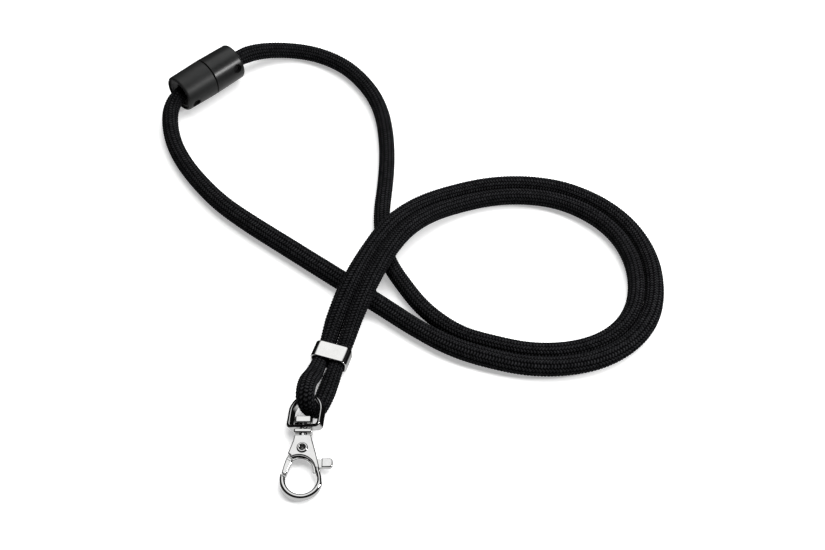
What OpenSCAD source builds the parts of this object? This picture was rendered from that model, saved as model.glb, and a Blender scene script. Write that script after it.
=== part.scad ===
// Breakaway lanyard: one long cord loop, closed by a two-part snap buckle and
// gathered by a crimp sleeve above a swivel trigger hook. It lies on a surface.
// Origin: axis of the hook's eye, on that surface. +Y runs up the hook towards
// the swivel and the sleeve, +Z is up.

/* [Cord] */
// Diameter of a free strand
cord_d = 5.2; // [4.8:0.1:5.3]
// Diameter of a strand pressed inside the sleeve
pressed_d = 4.9; // [4.6:0.1:5.0]
// Diameter of the cord where it is pinched in the bail
pinched_d = 3.6; // [3.4:0.1:3.6]
// Spacing of the two strands where they run side by side
pair_pitch = 5.4; // [5.4:0.05:5.6]

/* [Crimp sleeve] */
// Length of the sleeve along the cord
sleeve_len = 5.8; // [4:0.2:8]
// Width across both strands
sleeve_w = 11.8; // [11.8:0.1:12.6]
// Height above the surface
sleeve_h = 6.3; // [6.3:0.1:6.8]
// Thickness of the sheet
sleeve_wall = 0.6; // [0.4:0.05:0.6]

/* [Buckle] */
// Radius of each half at the seam
shell_r = 6.85; // [6.7:0.05:6.85]
// Radius of each half at its cord end
shell_end_r = 6.6; // [6.4:0.05:6.7]
// Length of one half
shell_len = 12.6; // [12.4:0.1:13]
// Rounding of the outer edge at the cord end
shell_edge_r = 0.8; // [0.4:0.1:0.8]
// Radius of the hole over each lock pin
lock_hole_r = 1.7; // [1.4:0.1:1.8]
// Distance of the lock pins from the seam
lock_z = 9.6; // [9.3:0.1:9.7]

/* [Hook] */
// Inner radius of the hook's eye
eye_r = 4.75; // [4.5:0.05:4.8]
// Outer radius of the hook's eye
eye_outer_r = 6.35; // [6.2:0.05:6.5]
// Thickness of the hook's body
body_t = 2.6; // [2.4:0.1:2.6]
// Thickness of the gate
gate_t = 2.3; // [2:0.1:2.4]
// Distance of the gate rivet above the eye's axis
rivet_y = 10; // [9.8:0.1:10.2]

/* [Bail] */
// Outer half-width of the bail
bail_r = 5.5; // [5.4:0.05:5.6]
// Thickness of the bail's strip
bail_wall = 1; // [0.9:0.05:1.1]
// Width of the bail's strip
bail_w = 3.2; // [2.8:0.1:3.4]
// Turn of the bail about the swivel's axis, in degrees
bail_turn = 20; // [16:1:22]

/* [Hidden] */

$fn = 48;
run = 0.05;    // radial clearance of a running fit
gap = 0.1;     // end clearance between parts that turn
eps = 0.5;     // how far a cutter stands past what it cuts
lap = 0.2;     // how far joined parts of one piece run into each other
far = 20;      // size of cutters and fillers that reach past the hook
cord_sides = 10;

// ---------------------------------------------------------------- cord route
// Points are [x, y, z] or [x, y, z, diameter], in order along the cord.

// First lead, out of the socket and across the surface to where the strands meet
lead_a = [
    [-47.5, 157.7, 6.9], [-50.2, 155.1, 6.8], [-52.3, 151.5, 6.2], [-53, 145.5, 4.4],
    [-51, 136, 2.8], [-46, 125.5, 2.7], [-39, 115.5, 2.7], [-31, 106.5, 2.7],
    [-21, 98, 2.7], [-10, 89.5, 2.7], [1, 81, 2.7], [12, 72.5, 2.7],
    [23.5, 63.5, 2.7], [35, 54.5, 2.7]];

// Last lead, out of the plug and round to the same place
lead_b = [
    [-34.8, 169.6, 6.9], [-32, 172.2, 6.8], [-27.5, 176.2, 6.2], [-20.5, 180, 4.4],
    [-11, 181.5, 2.8], [-1, 179, 2.7], [9, 172.5, 2.7], [17, 162, 2.7],
    [21.5, 151, 2.7], [23.5, 139, 2.7], [24, 127, 2.7], [23.5, 115, 2.7],
    [22.5, 103, 2.7], [23, 92, 2.7], [25, 82, 2.7], [30, 72.5, 2.7],
    [37, 62, 2.7]];

// Line midway between the strands while they lie side by side
pair_line = [
    [46.5, 50.5, 2.7], [57, 46.5, 2.7], [69, 43.5, 2.7], [81, 43.5, 2.7],
    [92, 46.5, 2.7], [101, 53, 2.7], [106.5, 62, 2.7], [108.5, 73, 2.7],
    [107.5, 84, 2.7], [103, 95, 2.7], [95, 104, 2.7], [84, 110.5, 2.7],
    [72, 113, 2.7], [60, 112.5, 2.7], [48.5, 109, 3.2], [38, 103, 5],
    [30, 95, 7.2], [24.5, 86.5, 8.4], [20, 77.5, 8.6], [16, 68, 8.3],
    [12.5, 59, 6.4], [10, 51.5, 4.2], [8.5, 46.7, 3.2, pressed_d],
    [6.6, 40.8, 3.2, pressed_d]];

// Fold at the end of the pair: over the bow, down through the bail and back
tapered_d = 4.4;
fold_line = [
    [2.2, 36, 4.8, tapered_d], [1, 31.5, 7.6, pinched_d], [0.5, 27.2, 9.2, pinched_d],
    [0.6, 24, 8.5, pinched_d], [1.2, 22.7, 5.8, pinched_d], [2.2, 22.7, 3.3, pinched_d],
    [3.6, 24.2, 1.9, pinched_d], [5, 27.4, 1.9, pinched_d], [6.3, 31, 2.1, pinched_d],
    [7.7, 35.4, 2.6, tapered_d]];

// Unit vector
function unit(v) = v / norm(v);
// First three values of a point
function place(p) = [p[0], p[1], p[2]];
// Diameter at a point
function bore(p) = len(p) > 3 ? p[3] : cord_d;
// Direction of a line of points at point i
function along(line, i) =
    unit(place(line[min(i + 1, len(line) - 1)]) - place(line[max(i - 1, 0)]));
// The line moved sideways over the surface by a distance, positive to the left
function beside(line, distance) = [
    for (i = [0 : len(line) - 1])
        let (t = along(line, i), side = unit([-t[1], t[0], 0]), p = place(line[i]) + distance * side)
            [p[0], p[1], p[2], bore(line[i])]];
// A list in the opposite order
function backwards(list) = [for (i = [len(list) - 1 : -1 : 0]) list[i]];

// The whole cord, from the socket to the plug
strand_a = beside(pair_line, -pair_pitch / 2);
strand_b = beside(pair_line, pair_pitch / 2);
route = concat(lead_a, strand_a, fold_line, backwards(strand_b), backwards(lead_b));
fold_from = len(lead_a) + len(strand_a) - 1;
fold_to = fold_from + len(fold_line) + 1;
end_b_points = 6;
end_b_from = len(route) - end_b_points;

// Sideways unit vector at each point, carried along the cord without twist
function square_to(v, t) = unit(v - (v * t) * t);
sides = [
    for (i = 0, s = square_to([0, 0, 1], along(route, 0)); i < len(route);
         i = i + 1, s = i < len(route) ? square_to(s, along(route, i)) : s) s];

// Ring of points round the cord at point i
function ring(i) =
    let (p = route[i], t = along(route, i), u = sides[i], v = cross(t, u), r = bore(p) / 2)
        [for (k = [0 : cord_sides - 1])
            let (a = 360 * k / cord_sides) place(p) + r * (cos(a) * u + sin(a) * v)];

// Closed tube along the points from one number to another
module tube(from, to) {
    rings = to - from + 1;
    points = [for (i = [from : to]) each ring(i)];
    walls = [
        for (i = [0 : rings - 2], k = [0 : cord_sides - 1])
            let (next = (k + 1) % cord_sides)
                [i * cord_sides + k, (i + 1) * cord_sides + k,
                 (i + 1) * cord_sides + next, i * cord_sides + next]];
    start_cap = [for (k = [0 : cord_sides - 1]) k];
    end_cap = [for (k = [cord_sides - 1 : -1 : 0]) (rings - 1) * cord_sides + k];
    polyhedron(points = points, faces = concat([start_cap, end_cap], walls));
}

module cord_a() {
    color("#26272a") tube(0, fold_from);
}

module cord_fold() {
    color("#26272a") tube(fold_from, fold_to);
}

module cord_b() {
    color("#26272a") tube(fold_to, end_b_from);
}

module cord_end_b() {
    color("#26272a") tube(end_b_from, len(route) - 1);
}

// ---------------------------------------------------------------- crimp sleeve

sleeve_at = [7.5, 43.7, 0.05];
sleeve_yaw = -18;
sleeve_corner_r = 2.2;

// Rounded rectangle standing on the X axis, as exact arcs
module rounded_box_outline(w, h, r) {
    translate([-w / 2, r]) square([w, h - 2 * r]);
    translate([-w / 2 + r, 0]) square([w - 2 * r, h]);
    for (x = [-1, 1], y = [r, h - r]) {
        translate([x * (w / 2 - r), y]) circle(r);
    }
}

module crimp_sleeve() {
    color("#d9dadc")
    translate(sleeve_at) rotate([90, 0, sleeve_yaw])
    linear_extrude(sleeve_len, center = true)
    difference() {
        rounded_box_outline(sleeve_w, sleeve_h, sleeve_corner_r);
        translate([0, sleeve_wall])
        rounded_box_outline(sleeve_w - 2 * sleeve_wall, sleeve_h - 2 * sleeve_wall,
                            sleeve_corner_r - sleeve_wall / 2);
    }
}

// ---------------------------------------------------------------- buckle
// Each half is drawn along +Z from the seam at z = 0, then laid in its place.

buckle_at = [-41.3, 163.5, 6.9];
buckle_yaw = 43.2;
seam_gap = 0.3;
seam_edge = 0.25;

// Turn of each lock pin about the buckle's axis
socket_lock_turn = 287;
plug_lock_turn = 250;

// Pocket for the insert, open at the cord end
pocket_r = 5.8;
pocket_z = 7.4;
insert_recess = 0.6;
insert_bore_r = cord_d / 2 + 0.15;
insert_bore_z = 8;
insert_throat_r = 3.3;
insert_mouth_r = 4.4;
insert_mouth_depth = 0.5;
lock_pin_r = 1.2;
lock_pin_recess = 1.4;
lock_pin_dimple_r = 0.5;

// Snap stud, its ring in the socket and its retainer in the plug
stud_bulb_r = 3.5;
stud_neck_r = 2.9;
stud_head_r = 4.2;
stud_tip_z = 6;
stud_tip_edge = 0.6;
stud_groove = [2.9, 4.7];
stud_collar_z = 0.9;
stud_head = [4.6, 5.8];
throat_r = stud_bulb_r + 0.1;
throat_z = 2.6;
socket_cavity = [4.2, 6.4];
snap_ring_z = [3.2, 4.4];
snap_ring_r = [3, 4.9];
snap_ring_split = 40;
retainer_z = [1.2, 4.5];
plug_cavity = [4.6, 5.9];

module in_plug() {
    translate(buckle_at) rotate([0, 90, buckle_yaw]) children();
}

module in_socket() {
    in_plug() mirror([0, 0, 1]) children();
}

// Cylinder between two heights
module disc(r, from, to) {
    translate([0, 0, from]) cylinder(r = r, h = to - from);
}

// Radial cutter or pin at the lock's place
module lock_bore(r, from, to, turn) {
    rotate([0, 0, turn]) translate([from, 0, lock_z]) rotate([0, 90, 0]) cylinder(r = r, h = to - from);
}

// Outer half-outline of one half: slight taper, rounded at the cord end
module shell_outline() {
    corner = [shell_end_r - shell_edge_r, shell_len - shell_edge_r];
    polygon([[0, seam_gap / 2], [shell_r - seam_edge, seam_gap / 2],
             [shell_r, seam_gap / 2 + seam_edge], [shell_end_r, corner[1]], [0, corner[1]]]);
    translate([0, corner[1] - eps]) square([corner[0], shell_edge_r + eps]);
    translate(corner) circle(shell_edge_r);
}

// One half without what its seam side holds
module half_shell(lock_turn) {
    difference() {
        rotate_extrude($fn = 96) shell_outline();
        disc(pocket_r, pocket_z, shell_len + eps);
        lock_bore(lock_hole_r, pocket_r - eps, shell_r + eps, lock_turn);
    }
}

// Ring glued on the cord's end and pinned in the pocket
module insert(lock_turn) {
    face_z = shell_len - insert_recess;
    difference() {
        disc(pocket_r, pocket_z, face_z);
        disc(insert_bore_r, insert_bore_z, face_z + eps);
        translate([0, 0, face_z - insert_mouth_depth])
            cylinder(r1 = insert_throat_r, r2 = insert_mouth_r, h = insert_mouth_depth);
        lock_bore(lock_pin_r, insert_bore_r - eps, pocket_r + eps, lock_turn);
    }
}

module lock_pin(lock_turn) {
    head = shell_end_r - lock_pin_recess;
    difference() {
        lock_bore(lock_pin_r, insert_bore_r + run, head, lock_turn);
        lock_bore(lock_pin_dimple_r, head - lock_pin_dimple_r, shell_r, lock_turn);
    }
}

module socket_shell() {
    color("#55565a") in_socket()
    difference() {
        half_shell(socket_lock_turn);
        disc(throat_r, -eps, throat_z + eps);
        disc(socket_cavity[0], throat_z, socket_cavity[1]);
        disc(snap_ring_r[1] + gap, snap_ring_z[0] - gap, snap_ring_z[1] + gap);
    }
}

module socket_insert() {
    color("#46474b") in_socket() insert(socket_lock_turn);
}

module socket_lock_pin() {
    color("#8b8c90") in_socket() lock_pin(socket_lock_turn);
}

module snap_ring() {
    color("#b9babd") in_socket()
    difference() {
        disc(snap_ring_r[1], snap_ring_z[0], snap_ring_z[1]);
        disc(snap_ring_r[0], 0, shell_len);
        rotate([0, 0, -snap_ring_split / 2])
            rotate_extrude(angle = snap_ring_split) square([shell_r, shell_len]);
    }
}

module snap_stud() {
    color("#77787c") in_plug() {
        mirror([0, 0, 1]) {
            disc(stud_neck_r, 0, stud_groove[1] + lap);
            disc(stud_bulb_r, 0, stud_groove[0]);
            disc(stud_bulb_r, stud_groove[1], stud_tip_z - stud_tip_edge);
            translate([0, 0, stud_tip_z - stud_tip_edge])
                cylinder(r1 = stud_bulb_r, r2 = stud_neck_r, h = stud_tip_edge);
        }
        disc(stud_bulb_r, -gap, stud_collar_z);
        disc(stud_neck_r, 0, stud_head[0] + gap);
        disc(stud_head_r, stud_head[0], stud_head[1]);
    }
}

module plug_shell() {
    color("#55565a") in_plug()
    difference() {
        half_shell(plug_lock_turn);
        disc(plug_cavity[0], -eps, plug_cavity[1]);
    }
}

module plug_insert() {
    color("#46474b") in_plug() insert(plug_lock_turn);
}

module plug_lock_pin() {
    color("#8b8c90") in_plug() lock_pin(plug_lock_turn);
}

module stud_retainer() {
    color("#b9babd") in_plug()
    difference() {
        disc(plug_cavity[0], retainer_z[0], retainer_z[1]);
        disc(stud_neck_r + run, 0, shell_len);
    }
}

// ---------------------------------------------------------------- swivel hook
// Drawn flat in X and Y about the eye's axis, then raised and pitched.

hook_z = 2.06;
hook_pitch = 6;

// Neck and swivel, as distances up the hook
neck_r = 1.5;
neck = [13.4, 14.7];
post_r = 1.1;
post_foot_y = 12.7;
collar_y = [14.9, 16.2];
collar_w = 5.5;
collar_h = 3.4;
collar_corner_r = 0.5;
bail_y = 16.7;
bail_leg_y = 22.2;
bail_corner_r = 1.3;
bail_lean = 7;       // slack of the bail on the swivel, in its own plane
bail_shift = 0.3;    // how far the bail's middle lies off the swivel's axis
post_head_y = 18.2;
post_head_r = 2.8;
post_head_len = 2.1;

// Eye, gate and lever outlines
arch_at = [-0.9, 2.65];
arch_r = 4.9;
head_outline = [
    [6.1, -1.3], [5, 4.85], [4.15, 8.2], [2.9, 12.5], [2.4, 14.3],
    [-2.4, 14.3], [-2.8, 12.5], [-4.15, 8.2], [-5, 4.85], [-6.1, -1.3]];
eye_side_cut = [[6.3, -1.3], [5.9, 0.9], [5, 4.85], [8, 4.85], [8, -1.3]];
gate_opening = [[-8, 1.7], [-5.95, 1.7], [-4.4, 0.6], [-2.5, 6.6], [-4.25, 8.1], [-8, 8.1]];
slot_t = 1.2;
slot_foot = 0.9;
slot_top = 12.2;
lever_z = [-0.55, 0.05];
lever_hub_r = 1.95;
band_at = [-0.45, 3.05];
band_r = [3.85, 5.1];
band_foot_y = 2.2;
band_left_x = -3.4;
web_outline = [[-3.6, 7.3], [3.6, 7.3], [1.8, 9.6], [-1.8, 9.6]];
rivet_shank_r = 1.2;
rivet_hole_r = 0.8;
rivet_head_r = 1.65;
rivet_head_t = 0.35;
tab_t = 1.8;
tab_x = [5.9, 9.3];
tab_y = [3.8, 6.8];
tab_corner_r = 1;
tab_root_x = [3.9, 3.3];
spring_wire = 0.35;
spring_leg = 2.6;
gate_outline = [
    [-4.1, 7.8], [-2.75, 6.6], [-2.95, 5.3], [-3.7, 3.6], [-4.35, 1.8], [-4.55, 1.05],
    [-5.8, 1.9], [-5.4, 3.95], [-4.8, 6.05]];

module on_hook() {
    translate([0, 0, hook_z]) rotate([hook_pitch, 0, 0]) children();
}

// Child drawn along +Z is turned to run up the hook
module up_hook() {
    on_hook() rotate([-90, 0, 0]) children();
}

module slab(from, to) {
    translate([0, 0, from]) linear_extrude(to - from) children();
}

// Outline of the body: round eye, tapering head, open on the gate's side
module body_outline() {
    difference() {
        union() {
            circle(eye_outer_r, $fn = 96);
            polygon(head_outline);
        }
        circle(eye_r, $fn = 96);
        translate(arch_at) circle(arch_r, $fn = 96);
        polygon(eye_side_cut);
        polygon(gate_opening);
    }
}

module hook_body() {
    color("#d4d5d8") {
        difference() {
            union() {
                on_hook() slab(-body_t / 2, body_t / 2) body_outline();
                up_hook() disc(neck_r, neck[0], neck[1]);
            }
            on_hook() slab(-slot_t / 2, slot_t / 2)
                translate([-far / 2, slot_foot]) square([far, slot_top - slot_foot]);
            on_hook() translate([0, rivet_y, -body_t]) cylinder(r = rivet_shank_r, h = 2 * body_t);
            up_hook() disc(post_r, post_foot_y, neck[1] + eps);
        }
    }
}

module gate_rivet() {
    color("#a7a8ab") on_hook() translate([0, rivet_y, 0])
    difference() {
        union() {
            disc(rivet_shank_r, -body_t / 2 - lap, body_t / 2 + lap);
            disc(rivet_head_r, body_t / 2, body_t / 2 + rivet_head_t);
            disc(rivet_head_r, -body_t / 2 - rivet_head_t, -body_t / 2);
        }
        disc(rivet_hole_r, -body_t, body_t);
    }
}

// Outline of the lever's web: hub, band over the eye and the root of the tab
module lever_outline() {
    tab_end = tab_x[0] + tab_corner_r;
    translate([0, rivet_y]) circle(lever_hub_r);
    difference() {
        translate(band_at) circle(band_r[1], $fn = 96);
        translate(band_at) circle(band_r[0], $fn = 96);
        translate([-far / 2, band_foot_y - far]) square(far);
        translate([band_left_x - far, -far / 2]) square(far);
    }
    polygon(gate_outline);
    polygon(web_outline);
    polygon([[tab_root_x[0], tab_y[0]], [tab_end, tab_y[0]], [tab_end, tab_y[1]], [tab_root_x[1], tab_y[1]]]);
}

module tab_outline() {
    w = tab_y[1] - tab_y[0];
    translate([tab_x[0], tab_y[0]]) square([tab_x[1] - tab_x[0] - tab_corner_r, w]);
    translate([tab_x[0], tab_y[0] + tab_corner_r])
        square([tab_x[1] - tab_x[0], w - 2 * tab_corner_r]);
    for (y = [tab_y[0] + tab_corner_r, tab_y[1] - tab_corner_r]) {
        translate([tab_x[1] - tab_corner_r, y]) circle(tab_corner_r);
    }
}

module gate_lever() {
    color("#c9cacd") on_hook()
    difference() {
        union() {
            slab(lever_z[0], lever_z[1]) lever_outline();
            slab(-gate_t / 2, gate_t / 2) polygon(gate_outline);
            slab(-tab_t / 2, tab_t / 2) tab_outline();
        }
        translate([0, rivet_y, -body_t]) cylinder(r = rivet_shank_r + run, h = 2 * body_t);
    }
}

// One-turn torsion spring round the rivet, one leg on the body, one on the lever
module gate_spring() {
    coil_r = rivet_shank_r + gap;
    foot = lever_z[1] + gap;
    color("#8f9094") on_hook() slab(foot, foot + spring_wire) {
        translate([0, rivet_y]) difference() {
            circle(coil_r + spring_wire);
            circle(coil_r);
        }
        translate([-coil_r - spring_wire, rivet_y]) square([spring_wire, slot_top - rivet_y - gap]);
        translate([coil_r, rivet_y - spring_leg]) square([spring_wire, spring_leg]);
    }
}

module swivel_post() {
    color("#b4b5b8") up_hook() {
        disc(post_r, post_foot_y, post_head_y + lap);
        disc(post_head_r, post_head_y, post_head_y + post_head_len);
    }
}

// Flat-topped block on the post between the body and the bail
module swivel_collar() {
    color("#c9cacd") up_hook()
    difference() {
        slab(collar_y[0], collar_y[1])
            translate([0, -collar_h / 2]) rounded_box_outline(collar_w, collar_h, collar_corner_r);
        disc(post_r, collar_y[0] - eps, collar_y[1] + eps);
    }
}

// Closed ring with a flat base and a round bow
module bail_outline(inset) {
    r = bail_r - inset;
    corner = bail_corner_r - inset / 2;
    base = bail_y + inset;
    translate([0, bail_leg_y]) circle(r, $fn = 96);
    translate([-r, base + corner]) square([2 * r, bail_leg_y - base - corner]);
    translate([-r + corner, base]) square([2 * (r - corner), corner + eps]);
    for (x = [-1, 1]) {
        translate([x * (r - corner), base + corner]) circle(corner);
    }
}

module bail() {
    color("#d4d5d8")
    difference() {
        on_hook() rotate([0, -bail_turn, 0])
        translate([0, bail_y, 0]) rotate(-bail_lean) translate([bail_shift, -bail_y, 0])
        linear_extrude(bail_w, center = true)
        difference() {
            bail_outline(0);
            bail_outline(bail_wall);
        }
        up_hook() disc(post_r + run, bail_y - 2 * eps, bail_y + bail_wall + 2 * eps);
    }
}

cord_a();
cord_fold();
cord_b();
cord_end_b();
crimp_sleeve();
socket_shell();
socket_insert();
socket_lock_pin();
snap_ring();
snap_stud();
plug_shell();
plug_insert();
plug_lock_pin();
stud_retainer();
bail();
swivel_post();
swivel_collar();
hook_body();
gate_rivet();
gate_lever();
gate_spring();
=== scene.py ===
"""Black cord lanyard: the looks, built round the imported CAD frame.

Pieces are shaped in millimetres, each in the frame of the part that it belongs to, and turned
to metres in the row frame at the end.
"""

import math

import bmesh
import bpy
import numpy as np
from mathutils import Matrix, Vector


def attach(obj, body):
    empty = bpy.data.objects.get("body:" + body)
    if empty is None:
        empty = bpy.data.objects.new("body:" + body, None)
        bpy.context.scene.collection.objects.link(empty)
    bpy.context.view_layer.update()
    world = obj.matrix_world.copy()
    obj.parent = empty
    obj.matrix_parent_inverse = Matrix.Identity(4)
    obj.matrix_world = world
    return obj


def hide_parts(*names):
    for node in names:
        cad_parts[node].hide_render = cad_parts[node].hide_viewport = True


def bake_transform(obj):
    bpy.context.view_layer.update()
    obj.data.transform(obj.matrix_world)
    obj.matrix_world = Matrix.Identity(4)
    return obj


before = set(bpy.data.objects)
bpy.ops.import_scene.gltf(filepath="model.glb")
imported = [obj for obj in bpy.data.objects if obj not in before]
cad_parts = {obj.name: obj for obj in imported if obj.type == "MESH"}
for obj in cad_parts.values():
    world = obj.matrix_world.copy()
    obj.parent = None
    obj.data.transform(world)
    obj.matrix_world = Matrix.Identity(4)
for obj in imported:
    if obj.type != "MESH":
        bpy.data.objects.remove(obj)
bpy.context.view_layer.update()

MM = 0.001
TO_METRES = Matrix.Scale(MM, 4)
SCENE = bpy.context.scene


def add_object(name, data):
    thing = bpy.data.objects.new(name, data)
    SCENE.collection.objects.link(thing)
    return thing


# ------------------------------------------------------------------ camera

VIEW_TARGET = (32.9, 78.5, 0)
VIEW_DISTANCE = 490
VIEW_PITCH = math.radians(52)
LENS = 65
SENSOR = 36


def add_camera():
    data = bpy.data.cameras.new("camera")
    data.lens = LENS
    data.sensor_width = SENSOR
    camera = add_object("camera", data)
    back = Vector((0, -math.cos(VIEW_PITCH), math.sin(VIEW_PITCH))) * VIEW_DISTANCE
    camera.location = (Vector(VIEW_TARGET) + back) * MM
    camera.rotation_euler = (math.pi / 2 - VIEW_PITCH, 0, 0)
    SCENE.camera = camera


add_camera()

# ------------------------------------------------------------------ materials

# Noise values between which a ramp goes from its first colour to its last
RAMP_START = 0.3
RAMP_END = 0.7


class Shader:
    """A Principled material, with short calls for the nodes that feed it."""

    def __init__(self, name):
        self.material = bpy.data.materials.new(name)
        self.material.use_nodes = True
        self.nodes = self.material.node_tree.nodes
        self.links = self.material.node_tree.links
        self.main = self.nodes["Principled BSDF"]
        self.place = self.nodes.new("ShaderNodeTexCoord").outputs["Object"]

    def set(self, **values):
        for key, value in values.items():
            self.main.inputs[key.replace("_", " ")].default_value = value

    def feed(self, name, output):
        self.links.new(output, self.main.inputs[name])

    def node(self, kind, **inputs):
        node = self.nodes.new(kind)
        for key, value in inputs.items():
            socket = node.inputs[key.replace("_", " ")]
            if isinstance(value, bpy.types.NodeSocket):
                self.links.new(value, socket)
            else:
                socket.default_value = value
        return node

    def stretched(self, x, y, z):
        """The place on the object with its axes scaled."""
        return self.node("ShaderNodeMapping", Vector=self.place, Scale=(x, y, z)).outputs["Vector"]

    def noise(self, scale, detail=3.0, roughness=0.5, vector=None):
        source = vector if vector is not None else self.place
        node = self.node(
            "ShaderNodeTexNoise", Vector=source, Scale=scale, Detail=detail, Roughness=roughness)
        return node.outputs["Fac"]

    def ramp(self, factor, low, high):
        """Colour from low to high as a noise rises."""
        node = self.node("ShaderNodeValToRGB", Fac=factor)
        first, last = node.color_ramp.elements
        first.position, last.position = RAMP_START, RAMP_END
        first.color, last.color = (*low, 1), (*high, 1)
        return node.outputs["Color"]

    def span(self, factor, low, high):
        """Number from low to high as factor goes from 0 to 1."""
        node = self.node("ShaderNodeMapRange", Value=factor, To_Min=low, To_Max=high)
        return node.outputs["Result"]

    def blend(self, factor, low, high):
        """Colour from one colour output to another as factor goes from 0 to 1."""
        mix = self.node("ShaderNodeMix")
        mix.data_type = "RGBA"
        self.links.new(factor, mix.inputs["Factor"])
        ends = [socket for socket in mix.inputs if socket.type == "RGBA"]
        self.links.new(low, ends[0])
        self.links.new(high, ends[1])
        return next(socket for socket in mix.outputs if socket.type == "RGBA")

    def bump(self, height, strength, distance, under=None):
        node = self.node(
            "ShaderNodeBump", Height=height, Strength=strength, Distance=distance)
        if under is not None:
            self.links.new(under, node.inputs["Normal"])
        return node.outputs["Normal"]


def cord_material():
    """Black knitted polyester: matt, with painted shade in the grooves, a painted highlight on the
    knit's crowns and a fine fibre grain.
    """
    s = Shader("knitted_cord")
    painted_crown_light = s.node("ShaderNodeAttribute")
    painted_crown_light.attribute_name = "painted_crown_light"
    mottle = s.noise(900, detail=4)
    # Painted light: the grooves get a near-black colour as painted shade and the raised crowns a
    # lighter one as a painted highlight
    groove = s.ramp(mottle, (0.0002, 0.0002, 0.0003), (0.0006, 0.0006, 0.0007))
    lit_crown_colour = s.ramp(mottle, (0.018, 0.0183, 0.0196), (0.05, 0.0505, 0.054))
    s.feed("Base Color", s.blend(painted_crown_light.outputs["Fac"], groove, lit_crown_colour))
    s.feed("Roughness", s.span(mottle, 0.5, 0.7))
    fibres = s.noise(5200, detail=4, roughness=0.65)
    s.feed("Normal", s.bump(fibres, 0.5, 0.00006))
    s.set(Specular_IOR_Level=0)
    return s.material


def plated_material(name, tint, rough_low, rough_high, ripple):
    """Bright plate over metal: a soft ripple, faint rubbing and a little haze."""
    s = Shader(name)
    haze = s.noise(420, detail=5, roughness=0.6)
    s.feed("Base Color", s.ramp(haze, tuple(0.93 * c for c in tint), tint))
    rub = s.noise(1500, detail=3, vector=s.stretched(1, 5, 1))
    s.feed("Roughness", s.span(rub, rough_low, rough_high))
    casting = s.noise(260, detail=2)
    s.feed("Normal", s.bump(rub, 0.12, 0.00001, under=s.bump(casting, ripple, 0.00008)))
    s.set(Metallic=1.0)
    return s.material


def plastic_material(name, low, high, rough_low, rough_high, grain):
    """Moulded plastic with a fine spark-eroded grain and faint handling marks."""
    s = Shader(name)
    flow = s.noise(120, detail=4, vector=s.stretched(1, 1, 2.5))
    s.feed("Base Color", s.ramp(flow, low, high))
    s.feed("Roughness", s.span(s.noise(700, detail=4), rough_low, rough_high))
    fine = s.noise(4200, detail=3, roughness=0.6)
    s.feed("Normal", s.bump(fine, grain, 0.00003))
    s.set(Specular_IOR_Level=0.3)
    return s.material


def floor_material():
    s = Shader("floor")
    s.feed("Base Color", s.ramp(s.noise(6), (0.86, 0.86, 0.86), (0.88, 0.88, 0.88)))
    s.set(Roughness=0.9, Specular_IOR_Level=0.1)
    s.set(Emission_Color=(1, 1, 1, 1), Emission_Strength=0.4)
    return s.material


SHELL_DARK = (0.01, 0.0104, 0.0104)
SHELL_LIGHT = (0.015, 0.0155, 0.0155)
INSERT_DARK = (0.006, 0.0062, 0.0062)
INSERT_LIGHT = (0.01, 0.0102, 0.0102)

CORD = cord_material()
PLATED = plated_material("nickel_plate", (0.64, 0.64, 0.635), 0.05, 0.10, 0.25)
SHEET = plated_material("plated_sheet", (0.70, 0.70, 0.69), 0.08, 0.16, 0.2)
STEEL = plated_material("drawn_steel", (0.50, 0.51, 0.53), 0.22, 0.36, 0.2)
PLUG_SHELL = plastic_material("plug_plastic", SHELL_DARK, SHELL_LIGHT, 0.26, 0.32, 0.25)
SOCKET_SHELL = plastic_material("socket_plastic", SHELL_DARK, SHELL_LIGHT, 0.4, 0.5, 0.3)
INSERT = plastic_material("insert_plastic", INSERT_DARK, INSERT_LIGHT, 0.45, 0.6, 0.4)

# ------------------------------------------------------------------ cord

# The route in millimetres: the same points as in part.scad
LEAD_A = [
    (-47.5, 157.7, 6.9), (-50.2, 155.1, 6.8), (-52.3, 151.5, 6.2), (-53, 145.5, 4.4),
    (-51, 136, 2.8), (-46, 125.5, 2.7), (-39, 115.5, 2.7), (-31, 106.5, 2.7),
    (-21, 98, 2.7), (-10, 89.5, 2.7), (1, 81, 2.7), (12, 72.5, 2.7),
    (23.5, 63.5, 2.7), (35, 54.5, 2.7)]
LEAD_B = [
    (-34.8, 169.6, 6.9), (-32, 172.2, 6.8), (-27.5, 176.2, 6.2), (-20.5, 180, 4.4),
    (-11, 181.5, 2.8), (-1, 179, 2.7), (9, 172.5, 2.7), (17, 162, 2.7),
    (21.5, 151, 2.7), (23.5, 139, 2.7), (24, 127, 2.7), (23.5, 115, 2.7),
    (22.5, 103, 2.7), (23, 92, 2.7), (25, 82, 2.7), (30, 72.5, 2.7),
    (37, 62, 2.7)]
PAIR = [
    (46.5, 50.5, 2.7), (57, 46.5, 2.7), (69, 43.5, 2.7), (81, 43.5, 2.7),
    (92, 46.5, 2.7), (101, 53, 2.7), (106.5, 62, 2.7), (108.5, 73, 2.7),
    (107.5, 84, 2.7), (103, 95, 2.7), (95, 104, 2.7), (84, 110.5, 2.7),
    (72, 113, 2.7), (60, 112.5, 2.7), (48.5, 109, 3.2), (38, 103, 5),
    (30, 95, 7.2), (24.5, 86.5, 8.4), (20, 77.5, 8.6), (16, 68, 8.3),
    (12.5, 59, 6.4), (10, 51.5, 4.2), (8.5, 46.7, 3.2), (6.6, 40.8, 3.2)]
FOLD = [
    (2.2, 36, 4.8), (1, 31.5, 7.6), (0.5, 27.2, 9.2), (0.6, 24, 8.5), (1.2, 22.7, 5.8),
    (2.2, 22.7, 3.3), (3.6, 24.2, 1.9), (5, 27.4, 1.9), (6.3, 31, 2.1), (7.7, 35.4, 2.6)]
PAIR_PITCH = 5.4

# Millimetres over which the route's bends are eased, and curve points worked out for each span
STRAND_EASE = 3
FOLD_EASE = 0.8
SPAN_POINTS = 60

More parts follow.
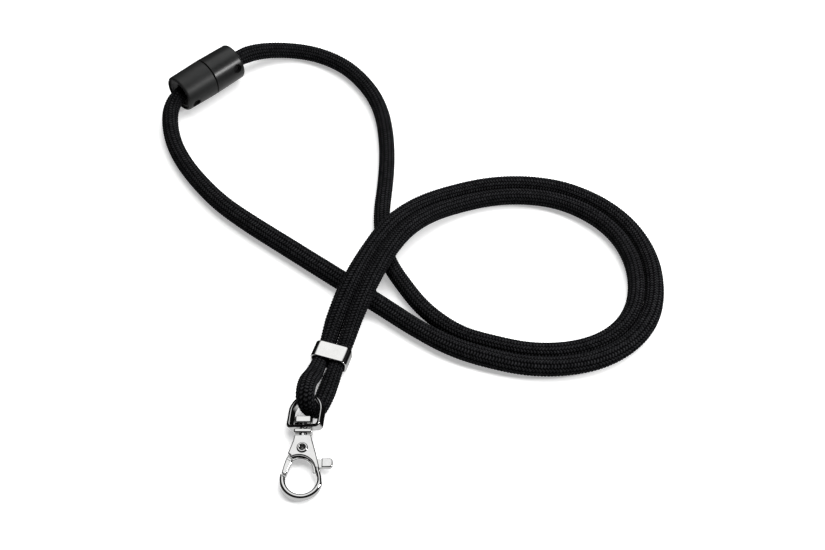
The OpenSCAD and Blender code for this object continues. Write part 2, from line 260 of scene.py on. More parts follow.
# Twist of each strand's knit in radians per millimetre, and the way along it to the pair
TWIST_A = 0.0035
TWIST_B = -0.003
MEET_A = 165
MEET_B = 200

# Knit: wales round the cord, mesh columns in each, stitch length and mesh rings in each
WALES = 13
WALE_COLUMNS = 4
STITCH = 1.0
STITCH_RINGS = 4
COLUMNS = WALES * WALE_COLUMNS
STEP = STITCH / STITCH_RINGS

# Depth of the groove between wales and of the dip between stitches, the part of a stitch that
# its rows lean by, the unevenness of the depths, and how narrow the painted highlight on the
# crowns is
GROOVE = 0.30
DIP = 0.26
SLANT = 0.9
UNEVEN = 0.15
CROWN_SHARP = 4
# Power of the section's curve: below 1 it is a little squarer than an ellipse
SECTION_POWER = 0.92

UP = np.array([0.0, 0.0, 1.0])


def unit(v):
    return v / np.linalg.norm(v, axis=-1, keepdims=True)


def along(line):
    """Direction of a line of points at each point."""
    return unit(np.gradient(line, axis=0))


def level_sides(line):
    """Level unit vectors to the left of the line."""
    return unit(np.cross(UP, along(line)))


def steady_sides(line):
    """Unit vectors square to the line that stay on the side that is the left at its start."""
    t = along(line)
    side = unit(np.cross(UP, t[0]))
    return unit(side - (t @ side)[:, None] * t)


def beside(line, distance):
    """The line moved sideways over the surface, positive to the left."""
    line = np.array(line, float)
    return [tuple(p) for p in line + distance * level_sides(line)]


def spaced(line):
    """The same line with its points a STEP apart."""
    gone = np.concatenate([[0], np.cumsum(np.linalg.norm(np.diff(line, axis=0), axis=1))])
    count = max(2, round(gone[-1] / STEP) + 1)
    where = np.linspace(0, gone[-1], count)
    return np.stack([np.interp(where, gone, line[:, k]) for k in range(3)], axis=1)


def smooth_line(points, ease):
    """Points a STEP apart on a smooth curve through a few points, its bends eased."""
    p = np.array(points, float)
    p = np.vstack([2 * p[0] - p[1], p, 2 * p[-1] - p[-2]])
    dense = []
    for a, b, c, d in zip(p[:-3], p[1:-2], p[2:-1], p[3:]):
        for t in np.linspace(0, 1, SPAN_POINTS, endpoint=False):
            bend = 2 * a - 5 * b + 4 * c - d
            sway = 3 * b - a - 3 * c + d
            dense.append(0.5 * (2 * b + (c - a) * t + bend * t**2 + sway * t**3))
    line = spaced(np.array(dense + [p[-2]]))
    reach = int(3 * ease / STEP)
    weights = np.exp(-0.5 * (np.arange(-reach, reach + 1) * STEP / ease) ** 2)
    weights /= weights.sum()
    before = 2 * line[0] - line[reach:0:-1]
    after = 2 * line[-1] - line[-2:-reach - 2:-1]
    padded = np.vstack([before, line, after])
    eased = [np.convolve(padded[:, k], weights, "valid") for k in range(3)]
    return spaced(np.stack(eased, axis=1))


def run_length(line):
    return float(np.linalg.norm(np.diff(line, axis=0), axis=1).sum())


def knit_depth(gone, rng):
    """How far each mesh point lies under the cord's skin, for rings at these distances."""
    column = np.arange(COLUMNS)
    wale = column // WALE_COLUMNS
    across = (column % WALE_COLUMNS) / WALE_COLUMNS
    across = np.where(across > 0.5, across - 1, across)
    shift = rng.uniform(0, 1, WALES)[wale]
    phase = gone[:, None] / STITCH + SLANT * across + shift
    stitch = 0.5 + 0.5 * np.cos(2 * math.pi * phase)
    in_groove = across == 0.5
    sunk = GROOVE * in_groove + DIP * (1 - stitch) * (~in_groove)
    return sunk * (1 + UNEVEN * rng.standard_normal(sunk.shape))


def tube_faces(rings):
    """Quads between rings of COLUMNS points each, and a cap at each end."""
    column = np.arange(COLUMNS)
    ring, col = np.meshgrid(np.arange(rings - 1), column, indexing="ij")
    after = (col + 1) % COLUMNS
    here, there = ring * COLUMNS, (ring + 1) * COLUMNS
    quads = np.stack([here + col, here + after, there + after, there + col], axis=-1)
    caps = [column[::-1].tolist(), ((rings - 1) * COLUMNS + column).tolist()]
    return quads.reshape(-1, 4).tolist() + caps


def knit_mesh(name, line, sides, widths, twist, seed):
    """Tube of knitted cord; widths is [(distance, left, right, half height)]."""
    gone = np.arange(len(line)) * STEP
    table = np.array(widths, float)
    left, right, high = (np.interp(gone, table[:, 0], table[:, k])[:, None] for k in (1, 2, 3))
    angle = 2 * math.pi * np.arange(COLUMNS) / COLUMNS + twist * gone[:, None]
    sunk = knit_depth(gone, np.random.default_rng(seed))
    half_w = np.where(np.cos(angle) > 0, left, right)
    x = half_w * np.sign(np.cos(angle)) * np.abs(np.cos(angle)) ** SECTION_POWER
    z = high * np.sign(np.sin(angle)) * np.abs(np.sin(angle)) ** SECTION_POWER
    nx, nz = x / half_w**2, z / high**2
    size = np.sqrt(nx**2 + nz**2)
    x = x - sunk * nx / size
    z = z - sunk * nz / size
    ups = np.cross(along(line), sides)
    places = line[:, None] + x[..., None] * sides[:, None] + z[..., None] * ups[:, None]
    # Painted light mask: 1 on the knit's raised crowns, which the cord colour paints lighter as a
    # highlight, down to 0 in the grooves, which it paints darker as shade
    painted_crown_light = np.clip(1 - sunk / GROOVE, 0, 1) ** CROWN_SHARP
    mesh = bpy.data.meshes.new(name)
    mesh.from_pydata((places.reshape(-1, 3) * MM).tolist(), [], tube_faces(len(line)))
    mesh.polygons.foreach_set("use_smooth", [True] * len(mesh.polygons))
    mesh.attributes.new("painted_crown_light", "FLOAT", "POINT").data.foreach_set("value", painted_crown_light.ravel())
    mesh.materials.append(CORD)
    return add_object(name, mesh)


def widths_a(whole):
    """Strand A is wider on its right, which is its free side in the pair."""
    return [
        (0, 2.7, 2.7, 2.65), (12, 2.75, 3.0, 2.65), (40, 2.9, 3.1, 2.65),
        (75, 3.25, 3.55, 2.66), (110, 3.3, 3.6, 2.66), (MEET_A - 20, 3.0, 3.3, 2.66),
        (MEET_A, 2.82, 3.7, 2.66), (MEET_A + 60, 2.82, 3.7, 2.66),
        (MEET_A + 120, 2.82, 3.2, 2.66), (whole - 45, 2.82, 3.2, 2.6),
        (whole - 25, 2.82, 3.7, 2.6), (whole - 14, 2.82, 3.4, 2.6),
        (whole - 6.5, 2.66, 2.55, 2.5), (whole, 2.64, 2.5, 2.48)]


def widths_b(whole):
    """Strand B is wider on its left, which is its free side in the pair."""
    return [
        (0, 2.7, 2.7, 2.7), (4, 2.72, 2.72, 2.7), (10, 3.3, 2.95, 2.85),
        (25, 3.1, 2.85, 2.66), (60, 2.8, 2.8, 2.65), (MEET_B - 25, 2.8, 2.8, 2.65),
        (MEET_B, 2.9, 2.82, 2.66), (whole - 25, 2.95, 2.82, 2.6),
        (whole - 6.5, 2.55, 2.66, 2.5), (whole, 2.5, 2.64, 2.48)]


def widths_fold(whole):
    """The fold is pinched flat where it passes through the bail."""
    return [
        (0, 2.5, 2.5, 2.48), (3, 2.75, 2.55, 2.45), (5, 3.05, 2.65, 2.4),
        (8, 3.15, 2.85, 2.25), (11, 3.05, 2.95, 2.1), (16, 3.0, 3.0, 1.95),
        (19.4, 2.95, 3.0, 1.9), (22.5, 2.9, 2.7, 1.75), (25, 2.9, 2.4, 1.7),
        (28, 2.9, 2.5, 1.7), (31, 3.05, 2.8, 1.75), (35, 3.1, 3.0, 1.9),
        (39.5, 2.9, 2.9, 2.3), (whole, 2.5, 2.5, 2.48)]


def make_cords():
    line_a = smooth_line(LEAD_A + beside(PAIR, -PAIR_PITCH / 2), STRAND_EASE)
    line_b = smooth_line(LEAD_B + beside(PAIR, PAIR_PITCH / 2), STRAND_EASE)
    line_f = smooth_line([tuple(line_a[-1])] + FOLD + [tuple(line_b[-1])], FOLD_EASE)
    strand_a = knit_mesh("cord_strand_a", line_a, level_sides(line_a),
                         widths_a(run_length(line_a)), TWIST_A, seed=1)
    strand_b = knit_mesh("cord_strand_b", line_b, level_sides(line_b),
                         widths_b(run_length(line_b)), TWIST_B, seed=2)
    fold = knit_mesh("knit_fold", line_f, steady_sides(line_f),
                     widths_fold(run_length(line_f)), 0, seed=3)
    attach(strand_a, "root")
    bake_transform(strand_b)
    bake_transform(fold)
    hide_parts("cord_a")
    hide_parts("cord_b", "cord_end_b")
    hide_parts("cord_fold")


make_cords()

# ------------------------------------------------------------------ shaping tools
# Each makes a mesh object in millimetres; finish_piece puts it in its place, in metres.

SHARP = math.radians(35)
SAME_POINT = 1e-5
SAME_PLATE_POINT = 1e-4


def mesh_object(name, bm):
    """Object of a finished bmesh, its normals pointing outwards."""
    bmesh.ops.recalc_face_normals(bm, faces=bm.faces)
    mesh = bpy.data.meshes.new(name)
    bm.to_mesh(mesh)
    bm.free()
    return add_object(name, mesh)


def lathe(name, outline, segments):
    """Closed outline of (radius, height) points turned round the Z axis."""
    bm = bmesh.new()
    count = len(outline)
    rings = []
    for k in range(segments):
        a = 2 * math.pi * k / segments
        rings.append([bm.verts.new((r * math.cos(a), r * math.sin(a), z)) for r, z in outline])
    for here, there in zip(rings, rings[1:] + rings[:1]):
        for i in range(count):
            j = (i + 1) % count
            bm.faces.new((here[i], there[i], there[j], here[j]))
    bmesh.ops.remove_doubles(bm, verts=bm.verts, dist=SAME_POINT)
    on_axis = [edge for edge in bm.edges if not edge.link_faces]
    bmesh.ops.delete(bm, geom=on_axis, context="EDGES")
    return mesh_object(name, bm)


def loft(name, rings):
    """Closed skin over closed rings of points; the last ring joins the first."""
    bm = bmesh.new()
    rows = [[bm.verts.new(p) for p in ring] for ring in rings]
    for here, there in zip(rows, rows[1:] + rows[:1]):
        for i in range(len(here)):
            j = (i + 1) % len(here)
            bm.faces.new((here[i], here[j], there[j], there[i]))
    return mesh_object(name, bm)


def applied(piece):
    """The piece with its modifiers made part of its mesh."""
    graph = bpy.context.evaluated_depsgraph_get()
    mesh = bpy.data.meshes.new_from_object(piece.evaluated_get(graph))
    name = piece.name
    bpy.data.objects.remove(piece)
    return add_object(name, mesh)


def plate(name, loops, thickness, edge, steps):
    """Flat plate from closed 2D loops, centred on z = 0, its edges rounded by edge."""
    curve = bpy.data.curves.new(name, "CURVE")
    curve.dimensions = "2D"
    curve.fill_mode = "BOTH"
    curve.extrude = thickness / 2 - edge
    curve.bevel_depth = edge
    curve.bevel_resolution = steps
    curve.offset = -edge
    for loop in loops:
        spline = curve.splines.new("POLY")
        spline.points.add(len(loop) - 1)
        for point, (x, y) in zip(spline.points, loop):
            point.co = (x, y, 0, 1)
        spline.use_cyclic_u = True
    piece = applied(add_object(name, curve))
    bm = bmesh.new()
    bm.from_mesh(piece.data)
    bmesh.ops.remove_doubles(bm, verts=bm.verts, dist=SAME_PLATE_POINT)
    bmesh.ops.recalc_face_normals(bm, faces=bm.faces)
    bm.to_mesh(piece.data)
    bm.free()
    return piece


def moved(piece, matrix):
    piece.data.transform(matrix)
    return piece


def combine(piece, other, operation):
    """Cuts the other piece out of the first, or joins them into one skin."""
    modifier = piece.modifiers.new("combine", "BOOLEAN")
    modifier.operation = operation
    modifier.solver = "EXACT"
    modifier.object = other
    bpy.context.view_layer.update()
    result = applied(piece)
    bpy.data.objects.remove(other)
    return result


def arc(centre, radius, start, end, step=6):
    """Points along an arc from one angle to another, in degrees."""
    count = max(2, int(abs(end - start) / step) + 1)
    angles = np.radians(np.linspace(start, end, count))
    return [(centre[0] + radius * math.cos(a), centre[1] + radius * math.sin(a)) for a in angles]


def cylinder(name, radius, low, high, edge=0.0):
    """Solid cylinder on the Z axis with its rims rounded by edge."""
    side = [(radius, low), (radius, high)]
    if edge:
        side = arc((radius - edge, low + edge), edge, -90, 0, 18)
        side += arc((radius - edge, high - edge), edge, 0, 90, 18)
    return lathe(name, [(0, low)] + side + [(0, high)], 64)


def finish_piece(piece, place, material, body, node):
    """Puts a piece in its place in metres, shades it, ties it to its body and hides its CAD node.
    """
    mesh = piece.data
    mesh.transform(TO_METRES @ place)
    mesh.materials.clear()
    mesh.materials.append(material)
    mesh.polygons.foreach_set("use_smooth", [True] * len(mesh.polygons))
    mesh.polygons.foreach_set("material_index", [0] * len(mesh.polygons))
    mesh.set_sharp_from_angle(angle=SHARP)
    piece.modifiers.new("weigh_normals", "WEIGHTED_NORMAL").keep_sharp = True
    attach(piece, body)
    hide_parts(node)


# ------------------------------------------------------------------ crimp sleeve

SLEEVE_PLACE = (Matrix.Translation((7.5, 43.7, 0.05))
                @ Matrix.Rotation(math.radians(-18), 4, "Z"))
SLEEVE_W = 11.8
SLEEVE_H = 6.3
SLEEVE_R = 2.0
SLEEVE_LEN = 5.8
SLEEVE_WALL = 0.6
SLEEVE_DISH = -0.12
SLEEVE_GRID = 0.5
LIP_STEPS = 8


def rounded_ring(width, height, radius, y, base, lift):
    """Rounded rectangle standing on z = base at a station y, the middle of its top lifted."""
    points = []
    for cx, cz, start in ((1, 1, 0), (-1, 1, 90), (-1, 0, 180), (1, 0, 270)):
        for a in range(0, 91, 10):
            angle = math.radians(start + a)
            x = cx * (width / 2 - radius) + radius * math.cos(angle)
            z = (height - radius if cz else radius) + radius * math.sin(angle)
            points.append((x, z))
    dense = []
    for (x0, z0), (x1, z1) in zip(points, points[1:] + points[:1]):
        pieces = max(1, round(math.hypot(x1 - x0, z1 - z0) / SLEEVE_GRID))
        for k in range(pieces):
            t = k / pieces
            dense.append((x0 + t * (x1 - x0), z0 + t * (z1 - z0)))
    ring = []
    for x, z in dense:
        rise = lift * max(0.0, 1 - (2 * x / width) ** 2) * (z / height) ** 4
        ring.append((x, y, base + z + rise))
    return ring


def sleeve_ring(inset, y, lift=0.0):
    """Ring of the sleeve's skin, inset from its outside."""
    return rounded_ring(
        SLEEVE_W - 2 * inset, SLEEVE_H - 2 * inset, SLEEVE_R - inset, y, inset, lift)


def same_count(rings):
    """Every ring with as many points as the first, evenly spread along it."""
    count = len(rings[0])
    result = []
    for ring in rings:
        p = np.array(ring + ring[:1])
        gone = np.concatenate([[0], np.cumsum(np.linalg.norm(np.diff(p, axis=0), axis=1))])
        where = np.linspace(0, gone[-1], count, endpoint=False)
        result.append([tuple(np.interp(w, gone, p[:, k]) for k in range(3)) for w in where])
    return result


def make_sleeve():
    """Bent sheet round both strands, with rolled lips and a slightly dished top."""
    half = SLEEVE_LEN / 2
    lip = SLEEVE_WALL / 2
    stations = [-half + lip, -half + 0.9, -half + 1.8, 0, half - 1.8, half - 0.9, half - lip]
    lifts = [SLEEVE_DISH * (1 - (y / half) ** 2) for y in stations]
    outside = [sleeve_ring(0, y, lift) for y, lift in zip(stations, lifts)]
    inside = [sleeve_ring(2 * lip, y, lift) for y, lift in zip(stations, lifts)]
    front, back = [], []
    for k in range(1, LIP_STEPS):
        a = math.pi * k / LIP_STEPS
        inset = lip * (1 - math.cos(a))
        y = half - lip + lip * math.sin(a)
        front.append(sleeve_ring(inset, y))
        back.append(sleeve_ring(2 * lip - inset, -y))
    piece = loft("sleeve_sheet", same_count(outside + front + inside[::-1] + back))
    finish_piece(piece, SLEEVE_PLACE, SHEET, "root", "crimp_sleeve")


make_sleeve()

# ------------------------------------------------------------------ buckle

# Each half's frame has its seam at z = 0 and its cord end at z = SHELL_LEN
BUCKLE_AT = (-41.3, 163.5, 6.9)
PLUG_PLACE = (Matrix.Translation(BUCKLE_AT) @ Matrix.Rotation(math.radians(43.2), 4, "Z")
              @ Matrix.Rotation(math.radians(90), 4, "Y"))
SOCKET_PLACE = PLUG_PLACE @ Matrix.Rotation(math.pi, 4, "X")
SHELL_R = 6.85
SHELL_END_R = 6.6
SHELL_LEN = 12.6
SEAM_Z = 0.15
SEAM_EDGE = 0.25
END_EDGE = 0.8
MOUTH_R = 5.8
MOUTH_EDGE = 0.12
MOUTH_FLOOR = 7.4
INSERT_FACE = SHELL_LEN - 0.6
LOCK_Z = 9.6
LOCK_HOLE_R = 1.7
LOCK_HOLE_FLOOR = 4.5
LOCK_BORE_R = 1.22
PLUG_LOCK_TURN = 250
SOCKET_LOCK_TURN = -287

# What each shell holds at its seam, from its floor out
PLUG_CAVITY = [(0, 5.9), (4.6, 5.9), (4.6, 0.3), (4.75, SEAM_Z)]
SOCKET_CAVITY = [
    (0, 6.4), (4.2, 6.4), (4.2, 4.5), (5.0, 4.5), (5.0, 3.1), (4.2, 3.1), (4.2, 2.6),
    (3.6, 2.6), (3.6, 0.4), (3.85, SEAM_Z)]


def radial(turn):
    """Frame whose Z axis points out of a shell's side through its lock hole."""
    return (Matrix.Rotation(math.radians(turn), 4, "Z") @ Matrix.Translation((0, 0, LOCK_Z))
            @ Matrix.Rotation(math.radians(90), 4, "Y"))


def shell_outline(cavity):
    """Half-outline of a shell round its cavity."""
    outer = [(SHELL_R - SEAM_EDGE, SEAM_Z)]
    outer += arc((SHELL_R - SEAM_EDGE, 0.4), SEAM_EDGE, -90, 0, 15)
    outer += arc((SHELL_END_R - END_EDGE, SHELL_LEN - END_EDGE), END_EDGE, 0, 80, 10)
    outer += arc((MOUTH_R + MOUTH_EDGE, SHELL_LEN - MOUTH_EDGE), MOUTH_EDGE, 90, 180, 30)
    return outer + [(MOUTH_R, MOUTH_FLOOR), (0, MOUTH_FLOOR)] + cavity


def make_shell(name, cavity, lock_turn, place, material, body, node):
    shell = lathe(name, shell_outline(cavity), 128)
    hole = lathe("hole", [
        (0, LOCK_HOLE_FLOOR), (LOCK_HOLE_R, LOCK_HOLE_FLOOR), (LOCK_HOLE_R, 6.62),
        (LOCK_HOLE_R + 0.1, 6.7), (LOCK_HOLE_R + 0.3, 6.95), (LOCK_HOLE_R + 0.3, 8), (0, 8)], 48)
    shell = combine(shell, moved(hole, radial(lock_turn)), "DIFFERENCE")
    finish_piece(shell, place, material, body, node)


def make_insert(name, lock_turn, place, body, node):
    """Ring round the cord in a shell's mouth, with a bore for the lock pin."""
    outline = [(5.78, MOUTH_FLOOR), (5.78, INSERT_FACE - 0.15), (5.63, INSERT_FACE)]
    outline += arc((4.7, INSERT_FACE - 0.3), 0.3, 90, 180, 15)
    outline += [(3.4, INSERT_FACE - 0.75), (2.85, INSERT_FACE - 1.1), (2.8, 8), (0, 8)]
    insert = lathe(name, outline + [(0, MOUTH_FLOOR)], 96)
    cut = cylinder("cut", LOCK_BORE_R, 2, 7)
    insert = combine(insert, moved(cut, radial(lock_turn)), "DIFFERENCE")
    finish_piece(insert, place, INSERT, body, node)


def make_lock_pin(name, lock_turn, place, body, node):
    """Pin with a dimpled outer end."""
    outline = [(0, 2.85), (1.18, 2.85), (1.18, 5.05), (1.05, 5.2), (0.5, 5.2), (0.35, 4.95)]
    pin = lathe(name, outline + [(0, 4.9)], 40)
    finish_piece(pin, place @ radial(lock_turn), INSERT, body, node)


def make_stud():
    """Snap stud: rounded bulb, waist for the ring, collar at the seam, shaft and captive head."""
    outline = [(0, -6), (2.4, -6)] + arc((2.7, -5.2), 0.8, -90, 0, 15)
    outline += [(3.5, -4.8), (2.9, -4.5), (2.9, -3.1), (3.5, -2.9), (3.5, 0.9), (2.9, 0.95)]
    outline += [(2.9, 4.6), (4.05, 4.6), (4.2, 4.75), (4.2, 5.65), (4.05, 5.8), (0, 5.8)]
    stud = lathe("stud_turned", outline, 96)
    finish_piece(stud, PLUG_PLACE, INSERT, "stud", "snap_stud")


make_shell("plug_half", PLUG_CAVITY, PLUG_LOCK_TURN, PLUG_PLACE, PLUG_SHELL,
           "plug", "plug_shell")
make_shell("socket_half", SOCKET_CAVITY, SOCKET_LOCK_TURN, SOCKET_PLACE, SOCKET_SHELL,
           "root", "socket_shell")
make_insert("plug_cord_insert", PLUG_LOCK_TURN, PLUG_PLACE, "plug", "plug_insert")
make_insert("socket_cord_insert", SOCKET_LOCK_TURN, SOCKET_PLACE, "root", "socket_insert")
make_lock_pin("plug_pin", PLUG_LOCK_TURN, PLUG_PLACE, "plug", "plug_lock_pin")
make_lock_pin("socket_pin", SOCKET_LOCK_TURN, SOCKET_PLACE, "root", "socket_lock_pin")
make_stud()

# ------------------------------------------------------------------ swivel hook

# The hook's frame has the middle of its eye at the origin and its length along Y
HOOK_PLACE = Matrix.Translation((0, 0, 2.06)) @ Matrix.Rotation(math.radians(6), 4, "X")
LAY_UP = Matrix.Rotation(math.radians(-90), 4, "X")
UP_HOOK = HOOK_PLACE @ LAY_UP

BODY_T = 2.6
EYE_R = 4.75
EYE_OUTER_R = 6.35
ARCH_AT = (-0.9, 2.65)
ARCH_R = 4.9
RING_EDGE = 0.75
HEAD_EDGE = 0.42
SLOT_T = 1.2
NECK_R = 1.25

RIVET_Y = 10
RIVET_R = 1.2
RIVET_BORE_R = 1.22
RIVET_PLACE = Matrix.Translation((0, RIVET_Y, 0))

GATE_T = 2.3
WEB_T = 0.6
WEB_DROP = -0.25
TAB_T = 1.8
LEVER_EDGE = 0.4
TAB_LOW = 3.8
TAB_HIGH = TAB_LOW + 3
BAND_AT = (-0.45, 3.05)
BAND_R = 3.85
# The gate's outline from its shoulder down to its tip and up its inner side
GATE_SIDES = [
    (-4.1, 7.8), (-4.8, 6.05), (-5.4, 3.95), (-5.8, 1.9), (-4.55, 1.05), (-4.35, 1.8),
    (-3.7, 3.6), (-2.95, 5.3)]
GATE_GROOVES = (((-4.4, 7.3), (-2.9, 6.1)), ((-4.75, 6.6), (-3.1, 5.4)))
GROOVE_HALF_W = 0.07
GROOVE_RUN_OUT = 0.6
GROOVE_Z = GATE_T / 2 + 0.28

POST_R = 1.1
POST_HEAD_R = 2.8
POST_HEAD_T = 2.1
POST_FLAT = 43

COLLAR_HALF_W = 2.75
COLLAR_HALF_H = 1.7
COLLAR_R = 0.5
COLLAR_T = 1.3

BAIL_R = 5.5
BAIL_WALL = 1.0
BAIL_W = 3.2
BAIL_Y = 16.7
BAIL_LEG_Y = 22.2
BAIL_PLACE = (
    HOOK_PLACE @ Matrix.Rotation(math.radians(-20), 4, "Y") @ Matrix.Translation((0, BAIL_Y, 0))
    @ Matrix.Rotation(math.radians(-7), 4, "Z") @ Matrix.Translation((0.3, -BAIL_Y, 0)))


def ring_loop():
    """Outline of the round eye and the arm beside it, from the nose round to the slot."""
    outer = arc((0, 0), EYE_OUTER_R, 164, 348)
    arm = [(5.95, 0.9), (5.15, 4.2)] + arc(ARCH_AT, ARCH_R, 18, 4)
    return outer + arm + arc((0, 0), EYE_R, 33, -188)


def head_loop():
    """Outline of the flat head, arched over the eye."""
    head = [(5.32, 3.4), (5.0, 4.85), (4.15, 8.2), (2.9, 12.5), (2.45, 14.3),
            (-2.45, 14.3), (-2.8, 12.5), (-4.2, 8.25), (-4.0, 7.95), (-2.85, 7.05)]
    return head + arc(ARCH_AT, ARCH_R, 113, 9)


def make_hook_body():
    ring = plate("ring", [ring_loop()], BODY_T, RING_EDGE, 5)
    body = plate("hook_casting", [head_loop()], BODY_T, HEAD_EDGE, 4)
    body = combine(body, ring, "UNION")
    neck = moved(cylinder("neck", NECK_R, 13.4, 14.85, 0.05), LAY_UP)
    body = combine(body, neck, "UNION")
    slot = plate("slot", [[(-8, 0.9), (8, 0.9), (8, 12.2), (-8, 12.2)]], SLOT_T, 0.01, 0)
    body = combine(body, slot, "DIFFERENCE")
    bore = moved(cylinder("bore", RIVET_BORE_R, -3, 3), RIVET_PLACE)
    body = combine(body, bore, "DIFFERENCE")
    finish_piece(body, HOOK_PLACE, PLATED, "hook", "hook_body")


def make_rivet():
    """Semi-tubular rivet: rolled heads round a hole that stops near the far end."""
    half = BODY_T / 2
    top = arc((1.25, half + 0.02), 0.45, 0, 180, 15)
    foot = arc((1.25, -half - 0.02), 0.4, 270, 360, 15)
    shank = [(RIVET_R, -half + 0.02), (RIVET_R, half - 0.02)]
    hole = [(0.75, half - 0.1), (0.65, -half), (0, -half - 0.3)]
    rivet = lathe("tubular_rivet", [(0, -half - 0.42)] + foot + shank + top + hole, 64)
    finish_piece(rivet, HOOK_PLACE @ RIVET_PLACE, PLATED, "hook", "gate_rivet")


def groove(start, end):
    """Cutter for a fine groove across the gate's face."""
    a, b = Vector(start), Vector(end)
    t = (b - a).normalized()
    n = Vector((-t.y, t.x)) * GROOVE_HALF_W
    a, b = a - t * GROOVE_RUN_OUT, b + t * GROOVE_RUN_OUT
    loop = [tuple(a - n), tuple(b - n), tuple(b + n), tuple(a + n)]
    return moved(plate("groove", [loop], 1.0, 0.01, 0), Matrix.Translation((0, 0, GROOVE_Z)))


def make_lever():
    """Gate, web over the eye and thumb tab, in one casting on the rivet."""
    hub = arc((0, RIVET_Y), 1.95, -40, 220, 10)
    left = [(-3.4, 7.6)] + GATE_SIDES + [(-2.75, 6.1)]
    inner = arc(BAND_AT, BAND_R, 128, -12, 8)
    right = [(4.5, 2.2), (4.7, TAB_LOW), (7, TAB_LOW), (7, TAB_HIGH), (3.6, TAB_HIGH), (2.4, 8.2)]
    web = plate("lever_casting", [hub + left + inner + right], WEB_T, 0.2, 3)
    moved(web, Matrix.Translation((0, 0, WEB_DROP)))
    gate = plate("gate", [GATE_SIDES + [(-2.75, 6.6)]], GATE_T, LEVER_EDGE, 4)
    for start, end in GATE_GROOVES:
        gate = combine(gate, groove(start, end), "DIFFERENCE")
    lever = combine(web, gate, "UNION")
    tab_loop = [(5.9, TAB_HIGH), (5.9, TAB_LOW)]
    tab_loop += arc((8.2, TAB_LOW + 1.0), 1.0, -90, 0, 15)
    tab_loop += arc((8.2, TAB_LOW + 2.0), 1.0, 0, 90, 15)
    tab = plate("tab", [tab_loop], TAB_T, LEVER_EDGE, 4)
    lever = combine(lever, tab, "UNION")
    bore = moved(cylinder("bore", RIVET_BORE_R + 0.03, -3, 3), RIVET_PLACE)
    lever = combine(lever, bore, "DIFFERENCE")
    finish_piece(lever, HOOK_PLACE, PLATED, "gate", "gate_lever")


def make_post():
    """Swivel post: shank through the bail's base, and a head with two flats inside the bail."""
    loop = arc((0, 0), POST_HEAD_R, -POST_FLAT, POST_FLAT, 5)
    loop += arc((0, 0), POST_HEAD_R, 180 - POST_FLAT, 180 + POST_FLAT, 5)
    head = plate("post_turned", [loop], POST_HEAD_T, 0.3, 4)
    moved(head, Matrix.Translation((0, 0, 19.25)))
    post = combine(head, cylinder("shank", POST_R, 12.7, 18.6), "UNION")
    finish_piece(post, UP_HOOK, PLATED, "hook", "swivel_post")


def make_collar():
    """Flat-topped block on the post between the head and the bail."""
    loop = []
    for x, y, start in ((1, 1, 0), (-1, 1, 90), (-1, -1, 180), (1, -1, 270)):
        centre = (x * (COLLAR_HALF_W - COLLAR_R), y * (COLLAR_HALF_H - COLLAR_R))
        loop += arc(centre, COLLAR_R, start, start + 90, 18)
    collar = plate("collar_block", [loop], COLLAR_T, 0.4, 5)
    moved(collar, Matrix.Translation((0, 0, 15.55)))
    collar = combine(collar, cylinder("bore", POST_R, 14, 17), "DIFFERENCE")
    finish_piece(collar, UP_HOOK, PLATED, "hook", "swivel_collar")


def bail_loop(inset):
    """The bail's D outline, inset from its outside."""
    r = BAIL_R - inset
    corner_r = 1.3 - inset / 2
    base = BAIL_Y + inset
    loop = arc((0, BAIL_LEG_Y), r, 0, 180, 5)
    loop += arc((-r + corner_r, base + corner_r), corner_r, 180, 270, 15)
    return loop + arc((r - corner_r, base + corner_r), corner_r, 270, 360, 15)


def make_bail():
    """D-shaped strap with a bore for the post through its base."""
    bail = plate("bail_strap", [bail_loop(0), bail_loop(BAIL_WALL)], BAIL_W, 0.3, 4)
    bore = moved(cylinder("bore", POST_R + 0.05, 15, 19), BAIL_PLACE.inverted() @ UP_HOOK)
    bail = combine(bail, bore, "DIFFERENCE")
    finish_piece(bail, BAIL_PLACE, PLATED, "bail", "bail")


make_hook_body()
make_rivet()
make_lever()
make_post()
make_collar()
make_bail()

for node in ("snap_ring", "stud_retainer", "gate_spring"):
    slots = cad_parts[node].data.materials
    slots.clear()
    slots.append(STEEL)

# ------------------------------------------------------------------ stage and light

KEY_AT = (260, 420, 700)
KEY_SIZE = 0.9
KEY_POWER = 10
SIDE_AT = (541, -27, 346)
SIDE_SIZE = 0.12
SIDE_POWER = 2.2
FLOOR_HALF = 2.0

# The world's brightness along SKY_LEAN, as far as 0.5 each way round 0.5: a pale ground straight
# below, dark all round, and a white ceiling overhead and behind
SKY_LEAN = (0.0, 0.225, 0.475)
SKY_STRENGTH = 1.3
WALL = (0.004, 0.004, 0.004, 1)
CEILING = (1, 1, 1, 1)
GROUND = (0.6, 0.6, 0.6, 1)
GROUND_UPTO = 0.16
WALL_FROM = 0.3
WALL_UPTO = 0.93
CEILING_FROM = 1.0


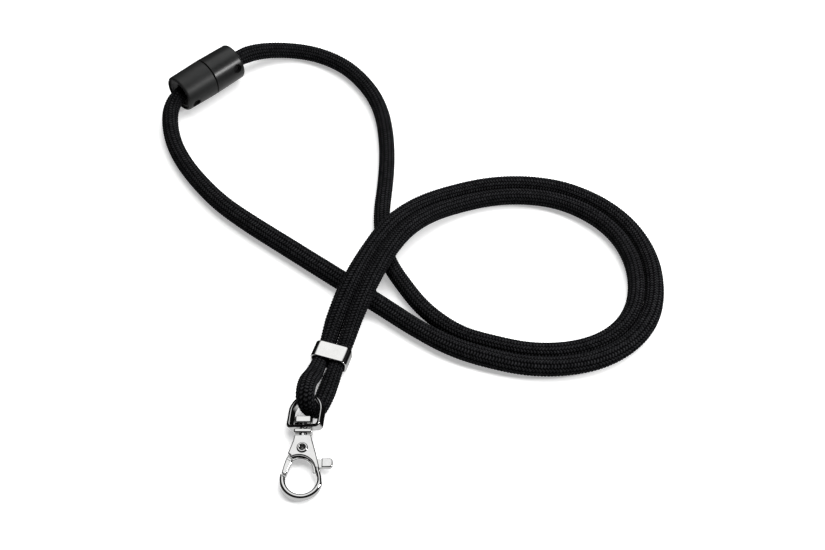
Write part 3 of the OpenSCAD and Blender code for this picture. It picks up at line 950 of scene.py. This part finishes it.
def add_light(name, at, size, power, glossy):
    """Square area light aimed at the view's target; glossy says whether mirrors show it."""
    data = bpy.data.lights.new(name, "AREA")
    data.shape = "RECTANGLE"
    data.size = data.size_y = size
    data.energy = power
    light = add_object(name, data)
    light.location = Vector(at) * MM
    light.visible_glossy = glossy
    direction = Vector(VIEW_TARGET) * MM - light.location
    light.rotation_euler = direction.to_track_quat("-Z", "Y").to_euler()


def add_world():
    """White ceiling leaning to the back, dark walls and a pale ground."""
    world = bpy.data.worlds.new("studio")
    world.use_nodes = True
    nodes, links = world.node_tree.nodes, world.node_tree.links
    place = nodes.new("ShaderNodeTexCoord")
    lean = nodes.new("ShaderNodeVectorMath")
    lean.operation = "DOT_PRODUCT"
    lean.inputs[1].default_value = SKY_LEAN
    centre = nodes.new("ShaderNodeMath")
    centre.operation = "ADD"
    centre.inputs[1].default_value = 0.5
    ramp = nodes.new("ShaderNodeValToRGB")
    links.new(place.outputs["Generated"], lean.inputs[0])
    links.new(lean.outputs["Value"], centre.inputs[0])
    links.new(centre.outputs["Value"], ramp.inputs["Fac"])
    links.new(ramp.outputs["Color"], nodes["Background"].inputs["Color"])
    stops = ramp.color_ramp.elements
    stops[0].position, stops[0].color = WALL_UPTO, WALL
    stops[1].position, stops[1].color = CEILING_FROM, CEILING
    stops.new(WALL_FROM).color = WALL
    stops.new(GROUND_UPTO).color = GROUND
    nodes["Background"].inputs["Strength"].default_value = SKY_STRENGTH
    SCENE.world = world


def add_floor():
    """Pale floor that mirrors don't show: they show the world's ground and walls instead."""
    mesh = bpy.data.meshes.new("floor")
    corners = [(-FLOOR_HALF, -FLOOR_HALF, 0), (FLOOR_HALF, -FLOOR_HALF, 0),
               (FLOOR_HALF, FLOOR_HALF, 0), (-FLOOR_HALF, FLOOR_HALF, 0)]
    mesh.from_pydata(corners, [], [(0, 1, 2, 3)])
    mesh.materials.append(floor_material())
    floor = add_object("floor", mesh)
    floor.visible_glossy = False


add_world()
add_floor()
add_light("key", KEY_AT, KEY_SIZE, KEY_POWER, glossy=False)
add_light("side", SIDE_AT, SIDE_SIZE, SIDE_POWER, glossy=True)
SCENE.view_settings.view_transform = "Standard"
